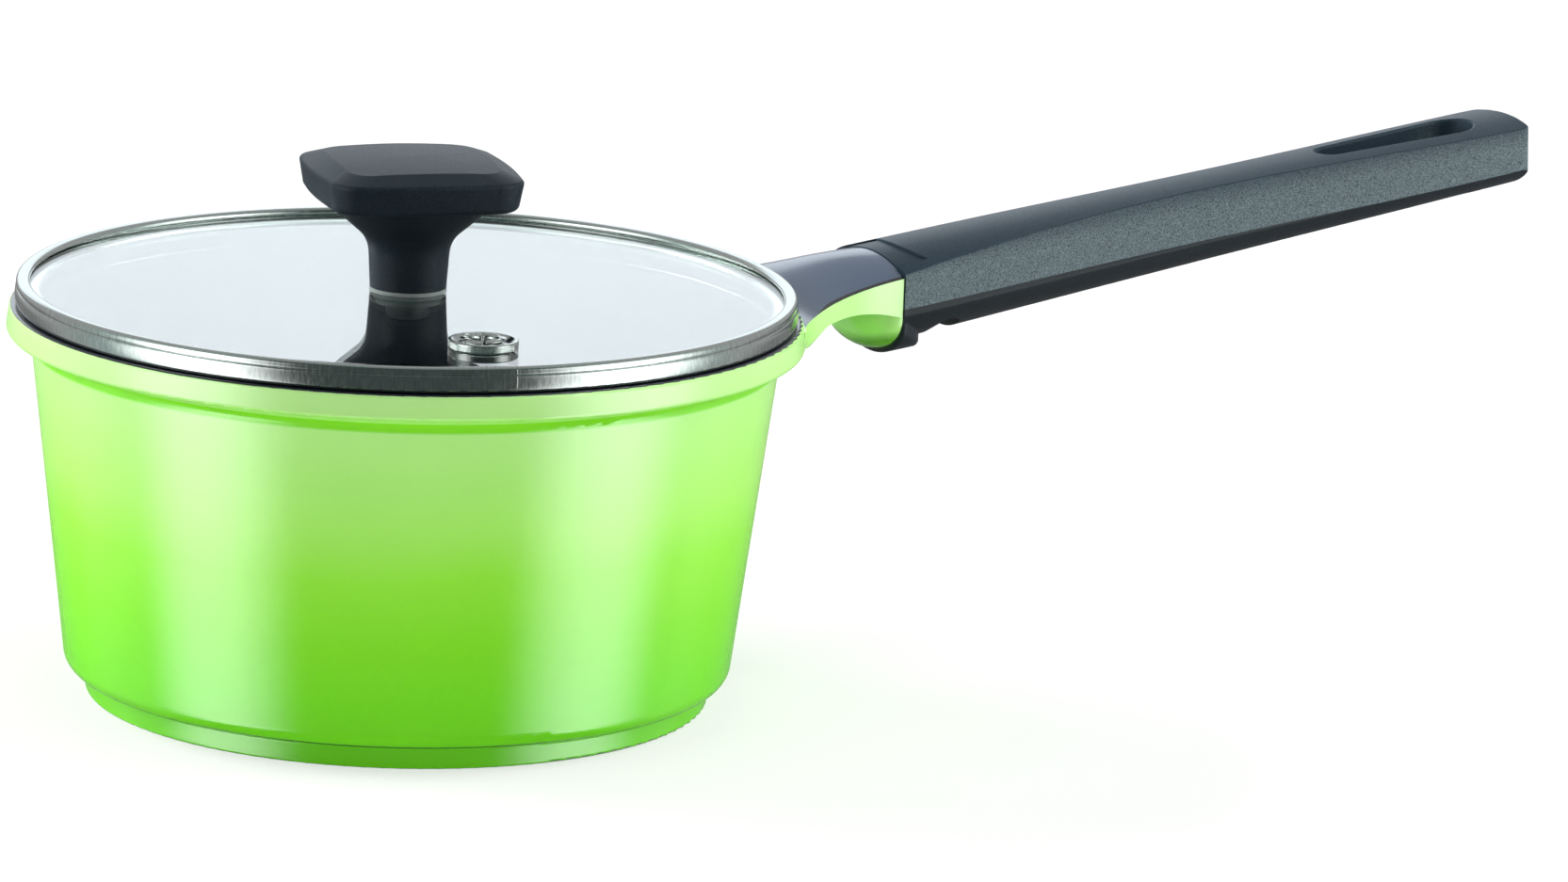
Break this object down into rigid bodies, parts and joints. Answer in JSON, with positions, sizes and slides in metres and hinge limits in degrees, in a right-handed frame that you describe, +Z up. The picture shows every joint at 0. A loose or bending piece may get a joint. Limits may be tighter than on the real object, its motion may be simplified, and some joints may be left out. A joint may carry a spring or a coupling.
{
  "type": "saucepan",
  "caption": "Round tapered saucepan with a flat glass lid in a steel band, a square knob, a steam vent and one long waisted handle with a hanging slot, for heating food on a hob.",
  "frame": {"origin": "centre of the flat foot, on the hob", "axes": "+Z up along the pan's axis, +X from the pan's axis towards the handle's end"},
  "size_m": [0.3738, 0.173, 0.1189],
  "materials": {
    "pan": "glossy lacquer outside, matt black non-stick coat inside and on the rim",
    "handle": "fine-grained speckled moulding",
    "knob": "satin moulding",
    "glass": "clear, polished",
    "band": "polished",
    "steel": "plain",
    "brass": "plain",
    "seal": "clear silicone"
  },
  "bodies": {
    "pan": {"pan_body": "pan", "handle_grip": "handle", "handle_screw": "steel", "handle_screw_washer": "steel"},
    "lid": {"lid_glass": "glass", "lid_band": "band", "vent_eyelet": "band", "vent_washer": "band", "knob": "knob", "knob_insert": "brass", "knob_screw": "steel", "knob_washer": "steel", "knob_seal_upper": "seal", "knob_seal_lower": "seal"}
  },
  "joints": [
    {"name": "lid_lift", "type": "slide", "parent": "pan", "child": "lid", "axis": [0, 0, 1], "range_m": [0, 0.12]}
  ]
}
